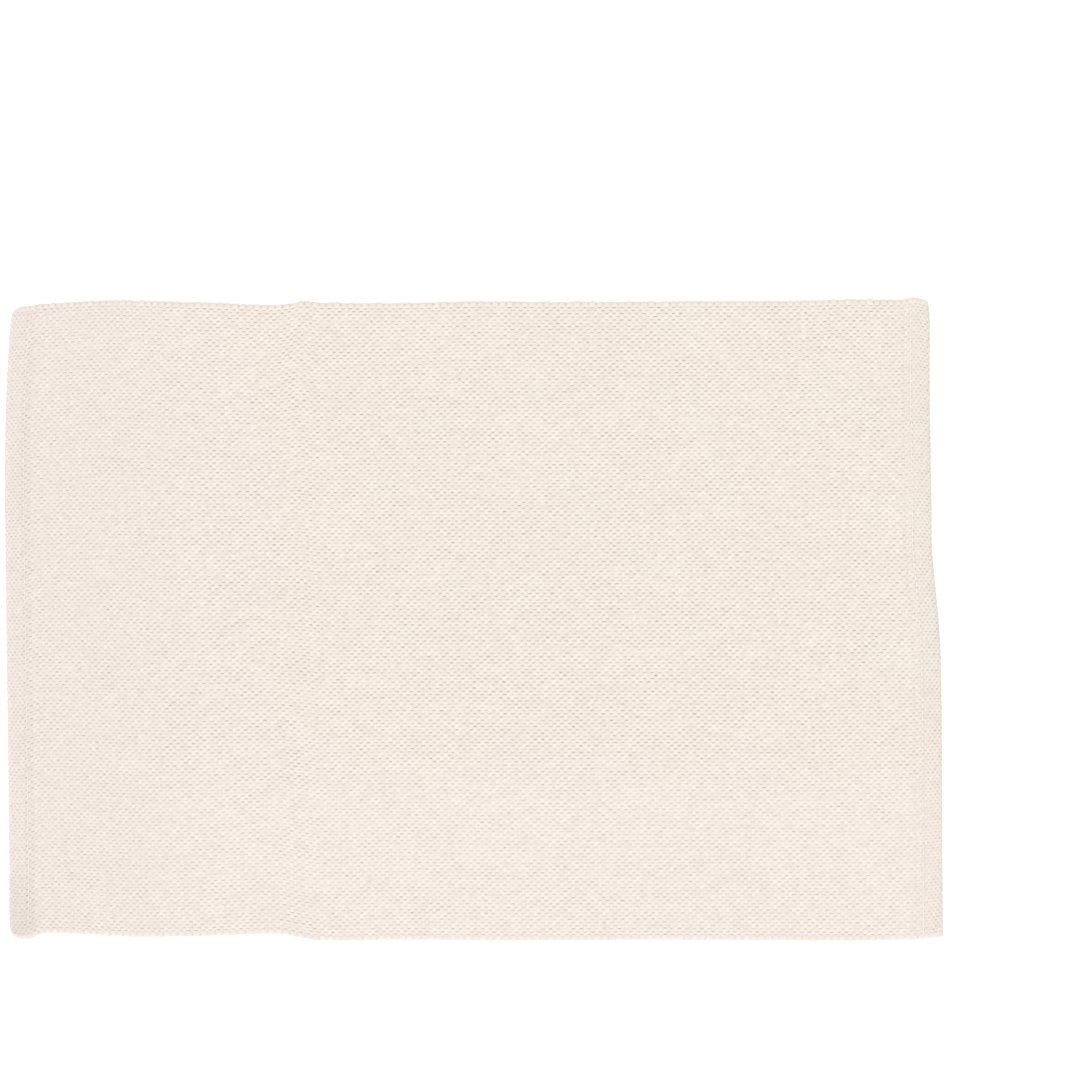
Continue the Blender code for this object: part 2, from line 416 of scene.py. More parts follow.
def yarn_places(table, end, odd):
    """Places of yarns from -end to end, which follow the table's pitches and fit that stretch exactly.

    The number of gaps between them is odd or even, as asked.
    """
    fine = np.linspace(-end, end, PITCH_SAMPLES)
    per_metre = 1 / (from_table(table, (fine[1:] + fine[:-1]) / 2) * MM)
    counted = np.concatenate([[0.0], np.cumsum(per_metre * np.diff(fine))])
    gaps = 2 * round((counted[-1] - odd) / 2) + odd
    return np.interp(np.arange(gaps + 1), counted * gaps / counted[-1], fine)


PICKS = yarn_places(PICK_PITCH, CLOTH_END, odd=0)
ENDS = yarn_places(END_PITCH, FURROW, odd=1)


def at_yarn(places, number):
    return np.interp(number, np.arange(len(places)), places)


def pick_number(e):
    return np.interp(e, PICKS, np.arange(len(PICKS)))


# ---- Unevenness ----

# How much a value varies from crossing to crossing, and over how many picks and ends it stays alike
Spread = namedtuple("Spread", "amount reach")

THREAD_LEVEL = Spread(0.06, (9, 1))
FLOAT_LEVEL = Spread(0.09, (1, 1))
FLOAT_ALONG = Spread(0.05, (1, 1))
FLOAT_ACROSS = Spread(0.07, (5, 1))
END_WIDTH = Spread(0.16, (5, 1))
SLOT_EACH = Spread(0.42, (1, 1))
SLOT_PATCHES = Spread(0.16, (8, 2))
SLOT_LENGTH = Spread(0.35, (1, 1))
SLOT_WIDTH = Spread(0.35, (1, 1))
TONE_EACH = Spread(1.7, (1, 1))
TONE_ALONG = Spread(0.25, (8, 1))
DEVIATIONS = 2  # an amount is this many standard deviations
NOISE_LIMIT = 1.2  # and no value is more than this many amounts


def uneven(random, spread):
    """A random value for each crossing, mostly within the spread's amount, that changes over its reach."""
    values = random.standard_normal((len(PICKS), len(ENDS)))
    for axis, width in enumerate(spread.reach):
        if width > 1:
            kernel = np.hanning(2 * width + 1)[1:-1]
            kernel /= np.sqrt((kernel**2).sum())
            values = np.apply_along_axis(np.convolve, axis, values, kernel, mode="same")
    return spread.amount * np.clip(values / DEVIATIONS, -NOISE_LIMIT, NOISE_LIMIT)


def before(place, limits):
    """A share that falls softly from 1 to 0 between two limits."""
    return 1 - smooth_step((place - limits[0]) / (limits[1] - limits[0]))


def boldness(a, b):
    """How strong the relief is: calmer near the left end, along the front and in bands along the hems."""
    calm = 1 - np.maximum(CALM_LEFT_LOSS * before(a, CALM_LEFT), CALM_FRONT_LOSS * before(b, CALM_FRONT))
    for band in HEM_BANDS:
        from_fold = MAT_LENGTH / 2 - band.side * a
        calm -= band.loss * np.maximum(1 - ((from_fold - band.middle * MM) / (band.width * MM)) ** 2, 0.0)
    return calm


# ---- The woven mesh ----


class Lattice:
    """Points of the weave in yarn numbers, with height, painted slot shade, brightness with painted light, and
    faces between them.
    """

    def __init__(self):
        self.blocks = []
        self.count = 0
        self.triangles = []
        self.quads = []
        self.rims = {}

    def add(self, u, v, height, shade, tone_and_painted_light=0.0):
        """Adds a block of points and gives their numbers in the block's own shape."""
        block = np.broadcast_arrays(u, v, height, shade, tone_and_painted_light)
        shape, size = block[0].shape, block[0].size
        self.blocks.append([part.ravel() for part in block])
        self.count += size
        return np.arange(self.count - size, self.count).reshape(shape)

    def columns(self):
        """The numbers of all the points, as one long column for each of them."""
        return [np.concatenate(parts) for parts in zip(*self.blocks)]

    def face(self, *corners, turned=False):
        """Adds triangles or quads. Turned ones have their corners the other way round after the first."""
        if turned:
            corners = corners[:1] + corners[:0:-1]
        faces = self.triangles if len(corners) == 3 else self.quads
        faces.append(np.stack(corners, axis=-1))


# Half of a float or slot, on one side of its middle: a float's thread there, the corners of a slot, and those
# of the slot beyond that face them
Half = namedtuple("Half", "side thread left right next_left next_right")


def outer_end(side):
    """The number of the outermost end on that side."""
    return len(ENDS) - 1 if side > 0 else 0


def weave_lattice(random):
    """The points and faces of every float and slot."""
    picks, ends = len(PICKS), len(ENDS)
    u, v = np.meshgrid(np.arange(picks), np.arange(ends), indexing="ij")
    lattice = Lattice()

    thread_level = uneven(random, THREAD_LEVEL)
    float_level = thread_level + uneven(random, FLOAT_LEVEL)
    float_u = u + uneven(random, FLOAT_ALONG)
    float_v = v + uneven(random, FLOAT_ACROSS)
    end_width = 1 + uneven(random, END_WIDTH)
    bold = 1 + uneven(random, SLOT_EACH) + uneven(random, SLOT_PATCHES)
    reach = SLOT_FLOOR_U * (1 + uneven(random, SLOT_LENGTH))
    corner_v = SLOT_CORNER_V * (1 + uneven(random, SLOT_WIDTH)) * end_width
    corner_u = SLOT_CORNER_U + (reach - SLOT_FLOOR_U)
    tone_and_painted_light = uneven(random, TONE_EACH) + uneven(random, TONE_ALONG)

    # The floats of the outermost end are low, and the slots beside the selvedge's loops are the deepest
    outermost = np.where((v == 0) | (v == ends - 1), 1.0, 0.0)
    drop = OUTER_DROP * outermost
    depth = SLOT_DEPTH * bold + OUTER_DEPTH * outermost
    shade = np.clip(bold, *SHADE_LIMITS) + OUTER_SHADE * outermost

    floor_left = lattice.add(float_u - reach, float_v, -depth, shade)
    floor_right = lattice.add(float_u + reach, float_v, -depth, shade)
    # The tips of the slots and the valleys get painted shade, and the floats' middles and threads a painted
    # highlight
    tip_left = lattice.add(float_u - SLOT_TIP, float_v, TIP_HEIGHT - drop, 0.0, tone_and_painted_light - DIP_PAINTED_SHADE)
    tip_right = lattice.add(float_u + SLOT_TIP, float_v, TIP_HEIGHT - drop, 0.0, tone_and_painted_light - DIP_PAINTED_SHADE)
    upper_left = lattice.add(float_u - corner_u, float_v + corner_v, CORNER_HEIGHT - drop, 0.0)
    upper_right = lattice.add(float_u + corner_u, float_v + corner_v, CORNER_HEIGHT - drop, 0.0)
    lower_left = lattice.add(float_u - corner_u, float_v - corner_v, CORNER_HEIGHT - drop, 0.0)
    lower_right = lattice.add(float_u + corner_u, float_v - corner_v, CORNER_HEIGHT - drop, 0.0)
    middle_height = FLOAT_TOP * THREAD_DIP + float_level - OUTER_MIDDLE_DROP * drop
    middle = lattice.add(float_u, float_v, middle_height, 0.0, tone_and_painted_light + MIDDLE_PAINTED_HIGHLIGHT)
    thread_height = FLOAT_TOP + float_level
    thread_above = lattice.add(float_u, float_v + THREAD_PLACE, thread_height, 0.0, tone_and_painted_light + THREAD_PAINTED_HIGHLIGHT)
    thread_below = lattice.add(float_u, float_v - THREAD_PLACE, thread_height, 0.0, tone_and_painted_light + THREAD_PAINTED_HIGHLIGHT)
    valley = lattice.add(u + 0.5, v + 0.5, COLUMN_VALLEY + thread_level, 0.0, tone_and_painted_light - DIP_PAINTED_SHADE)

    inner = (u > 0) & (u < picks - 1)
    halves = [
        Half(1, thread_above, upper_left, upper_right, lower_left, lower_right),
        Half(-1, thread_below, lower_left, lower_right, upper_left, upper_right),
    ]

    # The slots are where the numbers of the pick and the end add up to an odd one
    j, i = np.nonzero(inner & ((u + v) % 2 == 1))
    lattice.face(floor_left[j, i], floor_right[j, i], upper_right[j, i], upper_left[j, i])
    lattice.face(floor_right[j, i], floor_left[j, i], lower_left[j, i], lower_right[j, i])
    for half in halves:
        turned = half.side < 0
        lattice.face(floor_right[j, i], tip_right[j, i], half.right[j, i], turned=turned)
        lattice.face(floor_left[j, i], half.left[j, i], tip_left[j, i], turned=turned)

    # The floats are between them. Their halves mirror each other, so one has its corners the other way round.
    for half in halves:
        turned = half.side < 0
        j, i = np.nonzero(inner & ((u + v) % 2 == 0) & (v != outer_end(half.side)))
        beyond = i + half.side
        gap = np.minimum(i, beyond)
        thread = half.thread[j, i]
        right, left = tip_left[j + 1, i], tip_right[j - 1, i]
        right_valley, left_valley = valley[j, gap], valley[j - 1, gap]
        right_tip, left_tip = tip_right[j, beyond], tip_left[j, beyond]
        right_corner, left_corner = half.next_right[j, beyond], half.next_left[j, beyond]
        lattice.face(middle[j, i], right, right_valley, thread, turned=turned)
        lattice.face(thread, left_valley, left, middle[j, i], turned=turned)
        lattice.face(thread, right_valley, right_corner, turned=turned)
        lattice.face(right_valley, right_tip, right_corner, turned=turned)
        lattice.face(thread, right_corner, left_corner, turned=turned)
        lattice.face(thread, left_corner, left_valley, turned=turned)
        lattice.face(left_corner, left_tip, left_valley, turned=turned)

    # The points along each selvedge, in order, which its loops are joined to
    for half in halves:
        end = outer_end(half.side)
        rim = []
        for pick in range(1, picks - 1):
            if (pick + end) % 2 == 1:
                rim += [part[pick, end] for part in (tip_left, half.left, half.right, tip_right)]
            else:
                rim.append(middle[pick, end])
        lattice.rims[half.side] = np.array(rim)
    return lattice


def place_lattice(lattice):
    """The points in metres, raised by the relief, with yarn numbers, painted slot shade and brightness with
    painted light.
    """
    u, v, height, shade, tone_and_painted_light = lattice.columns()
    e, b = at_yarn(PICKS, u), at_yarn(ENDS, v)
    a, height_share = round_fold(e)
    pitch = np.interp(u, np.arange(len(PICKS) - 1) + 0.5, np.diff(PICKS))
    fine = np.clip(pitch / FULL_PITCH, *FINE_LIMITS)
    bold = boldness(a, b)
    level = 1 - RELIEF_OUT * height_share  # underneath, the tops of the floats rest on the table
    from_fold = MAT_LENGTH / 2 - np.abs(a)
    ridge = np.maximum(1 - ((from_fold - HEM_EDGE) / HEM_RIDGE_WIDTH) ** 2, 0.0) * height_share
    rise = (height - level) * RELIEF * fine * bold + HEM_RIDGE * ridge
    points = surface_point(e, b) + surface_normal(e, b) * rise[:, None]
    # Painted shade at the curled corner, and darker also towards the left end and in the hems
    curl = np.hypot((a - CURLED_CORNER[0]) / CURL_REACH[0], (b - CURLED_CORNER[1]) / CURL_REACH[1])
    in_hem = before(from_fold, (HEM_WIDTH + HEM_STEP, HEM_EDGE + HEM_STEP))
    darker = in_hem * np.where(a > 0, HEM_TONE[1], HEM_TONE[-1])
    tone_and_painted_light = tone_and_painted_light - CURL_PAINTED_SHADE * (1 - smooth_step(curl)) - LEFT_TONE * before(a, CALM_LEFT) - darker
    return points, u, v, shade * bold * (1 + FINE_SHADE * (1 - fine)), tone_and_painted_light


def vertex_normals(points, triangles, quads):
    """The mean of the faces' normals at each point, by their area."""
    faces = np.concatenate([triangles, quads[:, [0, 1, 2]], quads[:, [0, 2, 3]]])
    p, q, r = (points[faces[:, k]] for k in range(3))
    face_normals = np.cross(q - p, r - p)
    normals = np.zeros_like(points)
    for axis in range(3):
        for k in range(3):
            normals[:, axis] += np.bincount(faces[:, k], face_normals[:, axis], len(points))
    return normals / np.maximum(np.linalg.norm(normals, axis=1, keepdims=True), SMALLEST_LENGTH)


def grid_faces(shape, turned=False):
    """The quads between the neighbours in a grid of points."""
    numbers = np.arange(shape[0] * shape[1]).reshape(shape)
    corners = [numbers[:-1, :-1], numbers[:-1, 1:], numbers[1:, 1:], numbers[1:, :-1]]
    if turned:
        corners = corners[::-1]
    return np.stack(corners, axis=-1).reshape(-1, 4).tolist()


def add_mesh(name, points, faces, weave, shade, tone_and_painted_light, material, normals=None):
    """A smooth mesh object with yarn numbers, painted slot shade, and yarn brightness with painted light."""
    data = bpy.data.meshes.new(name)
    data.from_pydata(points.tolist(), [], faces)
    corner_points = np.empty(len(data.loops), dtype=np.int32)
    data.loops.foreach_get("vertex_index", corner_points)
    data.uv_layers.new(name="weave").data.foreach_set("uv", weave[corner_points].astype(np.float32).ravel())
    front = BLUSH_FRONT_SHARE * before(points[:, 1], BLUSH_FRONT)
    blush = 1 - (1 - before(points[:, 0], BLUSH_LEFT)) * (1 - front)
    # The attributes: painted shade, the yarns' random brightness with painted highlights and painted shade,
    # and blush
    for key, values in (("shade", shade), ("tone_and_painted_light", tone_and_painted_light), ("blush", blush)):
        data.attributes.new(key, "FLOAT", "POINT").data.foreach_set("value", values.astype(np.float32))
    data.shade_smooth()
    if normals is not None:
        data.normals_split_custom_set_from_vertices(normals.tolist())
    data.materials.append(material)
    piece = bpy.data.objects.new(name, data)
    bpy.context.scene.collection.objects.link(piece)
    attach(piece, "root")
    return piece


BODY_STRIPS = 4
CUT_PAST_PICK = 0.25  # strips are parted this far past a pick, in picks, where no face has its middle


def weave_pieces(material):
    """The upper face and the hems in strips that share edges and normals, and the rims of the selvedges."""
    lattice = weave_lattice(np.random.default_rng(WEAVE_SEED))
    points, u, v, shade, tone_and_painted_light = place_lattice(lattice)
    triangles, quads = np.concatenate(lattice.triangles), np.concatenate(lattice.quads)
    normals = vertex_normals(points, triangles, quads)
    weave = np.stack([u, v], axis=-1)

    hem = MAT_LENGTH / 2 - HEM_WIDTH - HEM_STEP
    cuts = np.concatenate([[-CLOTH_END], np.linspace(-hem, hem, BODY_STRIPS + 1), [CLOTH_END]])
    names = ["hem_left"] + [f"body_{k + 1}" for k in range(BODY_STRIPS)] + ["hem_right"]
    limits = np.round(pick_number(cuts)) + CUT_PAST_PICK
    limits[0], limits[-1] = -1, len(PICKS)

    pieces = {}
    for name, length, low, high in zip(names, np.diff(cuts), limits, limits[1:]):
        chosen = []
        for faces in (triangles, quads):
            middle = u[faces].mean(axis=1)
            chosen.append(faces[(middle >= low) & (middle < high)])
        used, renumbered = np.unique(np.concatenate([part.ravel() for part in chosen]), return_inverse=True)
        split = chosen[0].size
        faces = renumbered[:split].reshape(-1, 3).tolist() + renumbered[split:].reshape(-1, 4).tolist()
        own = (part[used] for part in (weave, shade, tone_and_painted_light))
        piece = add_mesh(name, points[used], faces, *own, material, normals[used])
        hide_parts(NODE)
        pieces[name] = (piece, length)
    rims = {side: (points[rim], u[rim], shade[rim], tone_and_painted_light[rim]) for side, rim in lattice.rims.items()}
    return pieces, rims


# ---- The underside ----

SLOT_RISE = 0.62 * MM  # how far the slots go up from the table
UNDER_SHADE = 0.8


def add_underside(material):
    """The cloth's lower face between the hems: its floats rest on the table and its slots go up."""
    inner = MAT_LENGTH / 2 - HEM_WIDTH - HEM_STEP / 2
    low, high = (int(round(float(pick_number(side * inner)))) for side in (-1, 1))
    u, v = np.meshgrid(np.arange(low, high + 1), np.arange(len(ENDS)), indexing="ij")
    slots = (u + v) % 2 == 0
    points = surface_point(PICKS[u], ENDS[v])
    lift = lift_at(points[..., 0] + MIDDLE_X, points[..., 1] + MIDDLE_Y)
    points[..., 2] = lift + np.where(slots, SLOT_RISE, 0.0)
    weave = np.stack([u, v], axis=-1).reshape(-1, 2)
    shade = np.where(slots, UNDER_SHADE, 0.0).ravel()
    faces = grid_faces(u.shape)
    return add_mesh("underside", points.reshape(-1, 3), faces, weave, shade, np.zeros(u.size), material)


# ---- The selvedges ----

LOOP_NOTCH = {1: 0.8 * MM, -1: 0.4 * MM}  # from the top of a loop in to the notch beside it, back and front
LOOP_REACH = {1: 0.0, -1: 0.2 * MM}  # how much farther out the loops lie than the solid's edge
LOOP_BULGE = 0.12 * MM
LOOP_FULLNESS = 0.55  # below 1 the loops are broad and the notches between them narrow
LOOP_TONE = {1: 0.0, -1: -1.2}  # how much lighter the loops' yarn is than the rest
# Painted highlight: how much lighter the tops of the loops are than the notches beside them
LOOP_TOP_PAINTED_HIGHLIGHT = 0.6
LOOP_TONE_SPREAD = 0.4
LOOP_SHADE = 0.5  # how dark the notches are
LOOP_JITTER = 0.15 * MM
NOTCH_SPREAD = 0.25
NOTCH_LIMITS = (0.4, 1.6)
BULGE_SPREAD = 0.5
LOOP_SLANT = 0.35  # how far the notches lean along the edge, in picks, from the upper face to the lower
SLANT_START = 0.15  # the share of the way round at which a notch is level with its pick
HEM_LOOPS = 0.4  # the size of the loops at the hems' folds, as a share of the others
LOOPS_FROM = 4 * MM  # from the fold to where they begin to grow
LOOPS_OVER = 9 * MM
FOLD_LOOPS = 0.3  # and at the very fold they are this much smaller again
FOLD_REACH = 0.2 * MM
PAST_FOLD = 0.4 * MM  # how far the selvedge goes on past the middle of the fold
WIDE_GAP = 0.4  # a rim gets one more point in each gap wider than this, in picks
LOOP_WEAVE = (0.7, 0.8, 0.3)  # yarn numbers for each ring, for each pick, and where they start

# The selvedge in section: how far round the edge, in degrees from its upper face, how much of the notches'
# depth is there, how much of the gap between the hem's two layers, and how far it is tucked in, in millimetres
Ring = namedtuple("Ring", "angle notch gap tuck")

SELVEDGE_RINGS = [
    Ring(9, 0.35, 0.0, 0.0),
    Ring(22, 0.55, 0.0, 0.0),
    Ring(38, 0.8, 0.0, 0.0),
    Ring(56, 0.95, 0.0, 0.0),
    Ring(74, 1.0, 0.0, 0.0),
    Ring(84, 1.0, 0.25, 0.0),
    Ring(90, 1.0, 1.0, 0.0),
    Ring(96, 1.0, 0.25, 0.0),
    Ring(106, 1.0, 0.0, 0.0),
    Ring(124, 0.95, 0.0, 0.0),
    Ring(144, 0.8, 0.0, 0.0),
    Ring(164, 0.5, 0.0, 0.0),
    Ring(180, 0.2, 0.0, 0.3),
    Ring(180, 0.0, 0.0, 0.7),
]
LAYER_GAP = 0.8 * MM
GAP_FROM = 1 * MM  # from the fold to where the gap opens
GAP_OVER = 2.5 * MM
GAP_END = 4 * MM  # over which it closes again
GAP_SHADE = 0.8


def between(values, gaps):
    """The values with one more, the mean of its neighbours, in each of these gaps."""
    return np.insert(values, gaps + 1, (values[gaps] + values[gaps + 1]) / 2, axis=0)


def add_selvedge(name, side, rim, material):
    """One long edge, from the outermost floats over and down to the underside, with its weft loops."""
    random = np.random.default_rng(SELVEDGE_SEED[side])
    points, u, shade, tone_and_painted_light = rim
    wide = np.nonzero(np.diff(u) > WIDE_GAP)[0]
    points, u, shade, tone_and_painted_light = (between(part, wide) for part in (points, u, shade, tone_and_painted_light))
    e = at_yarn(PICKS, u)
    kept = np.abs(e) <= FOLD_START + FOLD_ARC / 2 + PAST_FOLD
    points, u, shade, tone_and_painted_light, e = (part[kept] for part in (points, u, shade, tone_and_painted_light, e))
    a, height_share = round_fold(e)
    tall = np.maximum(2 * height_share - 1, 0.0)
    from_fold = MAT_LENGTH / 2 - np.abs(a)

    size = HEM_LOOPS + (1 - HEM_LOOPS) * smooth_step((from_fold - LOOPS_FROM) / LOOPS_OVER)
    size = size * np.where(from_fold < FOLD_REACH, FOLD_LOOPS, 1.0)
    opening = smooth_step((from_fold - GAP_FROM) / GAP_OVER)
    gap = LAYER_GAP * opening * smooth_step((HEM_EDGE - from_fold) / GAP_END)
    jitters = random.standard_normal(len(PICKS))
    depths = np.clip(1 + NOTCH_SPREAD * random.standard_normal(len(PICKS)), *NOTCH_LIMITS)
    bulges = random.standard_normal(len(PICKS))

    rows, shades, tones_and_painted_light = [points], [shade], [tone_and_painted_light]
    for ring in SELVEDGE_RINGS:
        angle = np.radians(ring.angle)
        phase = (u - outer_end(side) + LOOP_SLANT * (ring.angle / 180 - SLANT_START)) / 2
        number = np.floor(phase).astype(int) % len(PICKS)
        full = np.abs(np.sin(pi * phase)) ** LOOP_FULLNESS
        outward = LOOP_REACH[side] + LOOP_JITTER * jitters[number]
        bulge = LOOP_BULGE * (1 + BULGE_SPREAD * bulges[number])
        out = full * (outward * sin(angle) + bulge * cos(angle))
        move = size * (out - (1 - full) * LOOP_NOTCH[side] * ring.notch * depths[number]) - gap * ring.gap
        edge = MAT_WIDTH / 2 - EDGE_REACH - ring.tuck * MM
        b = side * (edge + (EDGE_REACH + move) * sin(angle))
        x, y = on_cloth(a, b)
        height = thickness_at(a, b) * (0.5 + 0.5 * tall * cos(angle))
        z = lift_at(x, y) + height + tall * (move * cos(angle) + ring.tuck * MM)
        rows.append(np.stack([x - MIDDLE_X, y - MIDDLE_Y, z], axis=-1))
        # The notches get painted shade, and the loops' tops a painted highlight
        shades.append(size * (1 - full) * LOOP_SHADE + GAP_SHADE * ring.gap * gap / LAYER_GAP)
        tones_and_painted_light.append(LOOP_TOP_PAINTED_HIGHLIGHT * full + LOOP_TONE_SPREAD * bulges[number] + LOOP_TONE[side])
    rows = np.array(rows)

    per_ring, per_pick, start = LOOP_WEAVE
    across = np.arange(len(rows)) * per_ring
    weave = np.stack(np.broadcast_arrays(across[:, None], u[None, :] * per_pick + start), axis=-1)
    faces = grid_faces(rows.shape[:2], turned=side < 0)
    shade, tone_and_painted_light = np.array(shades).ravel(), np.array(tones_and_painted_light).ravel()
    return add_mesh(name, rows.reshape(-1, 3), faces, weave.reshape(-1, 2), shade, tone_and_painted_light, material)


# ---- Sewing ----

STITCH_PITCH = 3.3 * MM
STITCH_LENGTH = 2.9 * MM
THREAD_RADIUS = 0.26 * MM
THREAD_END_RADIUS = 0.36 * MM
THREAD_SIDES = 6
THREAD_TAPER = 0.6  # a thread's radius where it dives in, as a share of its full radius
STITCH_STEPS = 6
STITCH_SINK = 0.45 * MM  # how deep a stitch's ends go in
STITCH_ARCH = 0.75 * MM  # and how far its middle rises from there
STITCH_WANDER = 0.12 * MM
THREAD_WEAVE = 3  # how much finer the thread's fibres are across it than along it

# Short thread ends where the sewing was fastened off: the middle on the plain rectangle, and half the length
ThreadEnd = namedtuple("ThreadEnd", "a b reach_a reach_b")

THREAD_ENDS = {
    -1: [ThreadEnd(-225.9, -150.5, 0.9, 0.2), ThreadEnd(-226.6, -149.6, 0.2, 0.7)],
    1: [
        ThreadEnd(238.2, -160.3, 0.8, 0.2),
        ThreadEnd(231.0, -160.4, 0.3, 0.8),
        ThreadEnd(234.4, -160.9, 0.2, 0.9),
        ThreadEnd(223.1, -161.2, 0.5, 0.3),
    ],
}


def add_stitches(name, side, material):
    """The row of sewing that holds one hem down, each stitch a short thread that dives in at both ends."""
    random = np.random.default_rng(SEWING_SEED[side])
    count = int((MAT_WIDTH - 2 * EDGE_REACH) / STITCH_PITCH)
    paths = []
    for number in range(count):
        start = (number - count / 2) * STITCH_PITCH + (STITCH_PITCH - STITCH_LENGTH) / 2
        e = side * (MAT_LENGTH / 2 - HEM_WIDTH) + STITCH_WANDER * random.standard_normal(2)
        paths.append(((e[0], start), (e[1], start + STITCH_LENGTH)))
    radii = [THREAD_RADIUS] * count + [THREAD_END_RADIUS] * len(THREAD_ENDS[side])
    for end in THREAD_ENDS[side]:
        low = ((end.a - end.reach_a) * MM, (end.b - end.reach_b) * MM)
        high = ((end.a + end.reach_a) * MM, (end.b + end.reach_b) * MM)
        paths.append((low, high))

    points, faces = [], []
    around = np.arange(THREAD_SIDES) * 2 * pi / THREAD_SIDES
    for (low, high), full_radius in zip(paths, radii):
        base = len(points) * THREAD_SIDES
        low, high = np.array(low), np.array(high)
        sideways = np.array([high[1] - low[1], low[0] - high[0], 0]) / np.hypot(*(high - low))
        for k in range(STITCH_STEPS + 1):
            share = k / STITCH_STEPS
            e, b = low + (high - low) * share
            arch = 1 - (2 * share - 1) ** 4
            rise = np.array([0, 0, STITCH_ARCH * arch - STITCH_SINK])
            centre = surface_point(np.array(e), np.array(b)) + rise
            radius = full_radius * (THREAD_TAPER + (1 - THREAD_TAPER) * arch)
            ring = sideways * np.cos(around)[:, None] + np.array([0, 0, 1]) * np.sin(around)[:, None]
            points.append(centre + radius * ring)
        for k in range(STITCH_STEPS):
            for s in range(THREAD_SIDES):
                near, far = base + k * THREAD_SIDES, base + (k + 1) * THREAD_SIDES
                t = (s + 1) % THREAD_SIDES
                faces.append((near + s, near + t, far + t, far + s))
    points = np.array(points).reshape(-1, 3)
    weave = np.stack([points[:, 1] / MM, points[:, 0] / MM * THREAD_WEAVE], axis=-1)
    plain = np.zeros(len(points))
    return add_mesh(name, points, faces, weave, plain, plain, material)


# ---- Materials ----

COTTON_LIGHT = (0.81, 0.750, 0.682, 1.0)
COTTON_WARM = (0.81, 0.728, 0.658, 1.0)
COTTON_PINK = (0.812, 0.732, 0.684, 1.0)
# Painted shade: the slots, the notches between the loops and the gap between the hem's layers are mixed
# towards this brown
SLOT_PAINTED_SHADE_COLOUR = (0.46, 0.385, 0.31, 1.0)
THREAD_LIGHT = (0.89, 0.85, 0.80, 1.0)
THREAD_DARK = (0.82, 0.77, 0.70, 1.0)

# Noise, as turns for each metre of the object or for each pick and end of the weave
BLOTCH_SCALE = (22, 22, 22)
PATCH_SCALE = (9, 9, 9)
FIBRE_SCALE = (2.6, 17, 1)
SLUB_SCALE = (0.22, 0.9, 1)
THREAD_FIBRE_SCALE = (3.0, 3.0, 1)

COTTON_ROUGHNESS = 0.92
COTTON_SPECULAR = 0.25
COTTON_SHEEN = 0.12
SHEEN_ROUGHNESS = 0.5
THREAD_ROUGHNESS = 0.7
PATCH_GAIN = 1.7  # how strongly the blush follows its patches
BRIGHTNESS = 0.89
FIBRE_BRIGHTNESS = 0.16
SLUB_BRIGHTNESS = 0.05
TONE_AND_LIGHT_BRIGHTNESS = 0.03
SLOT_PAINTED_SHADE_STRENGTH = 0.47
PLY_TURNS = (3.0, 4.0)  # twists of the ply for each pick and each end
PLY_HEIGHT = 0.12
BUMP_STRENGTH = 0.5
BUMP_DISTANCE = 0.25 * MM


class Nodes:
    """Short names for making and joining shader nodes."""

    def __init__(self, material):
        material.use_nodes = True
        self.tree = material.node_tree
        self.shader = self.tree.nodes["Principled BSDF"]

    def new(self, kind, **settings):
        node = self.tree.nodes.new(kind)
        for key, value in settings.items():
            setattr(node, key, value)
        return node

    def link(self, source, target):
        self.tree.links.new(source, target)

    def math(self, operation, first, second=None, clamp=False):
        node = self.new("ShaderNodeMath", operation=operation, use_clamp=clamp)
        for socket, value in zip(node.inputs, (first, second)):
            if isinstance(value, (int, float)):
                socket.default_value = value
            elif value is not None:
                self.link(value, socket)
        return node.outputs[0]

    def mix(self, factor, first, second, blend="MIX"):
        """A mix of two colours, which are the seventh and eighth inputs of its node."""
        node = self.new("ShaderNodeMix", data_type="RGBA", blend_type=blend)
        for socket, value in ((node.inputs[0], factor), (node.inputs[6], first), (node.inputs[7], second)):
            if isinstance(value, (int, float, tuple)):
                socket.default_value = value
            else:
                self.link(value, socket)
        return node.outputs[2]

    def attribute(self, name):
        return self.new("ShaderNodeAttribute", attribute_name=name).outputs["Fac"]

    def stretched_noise(self, coordinates, scale, detail=2.0, roughness=0.5):
        mapping = self.new("ShaderNodeMapping")
        mapping.inputs["Scale"].default_value = scale
        self.link(coordinates, mapping.inputs["Vector"])
        noise = self.new("ShaderNodeTexNoise")
        noise.inputs["Scale"].default_value = 1.0
        noise.inputs["Detail"].default_value = detail
        noise.inputs["Roughness"].default_value = roughness
        self.link(mapping.outputs[0], noise.inputs["Vector"])
        return noise.outputs[0]


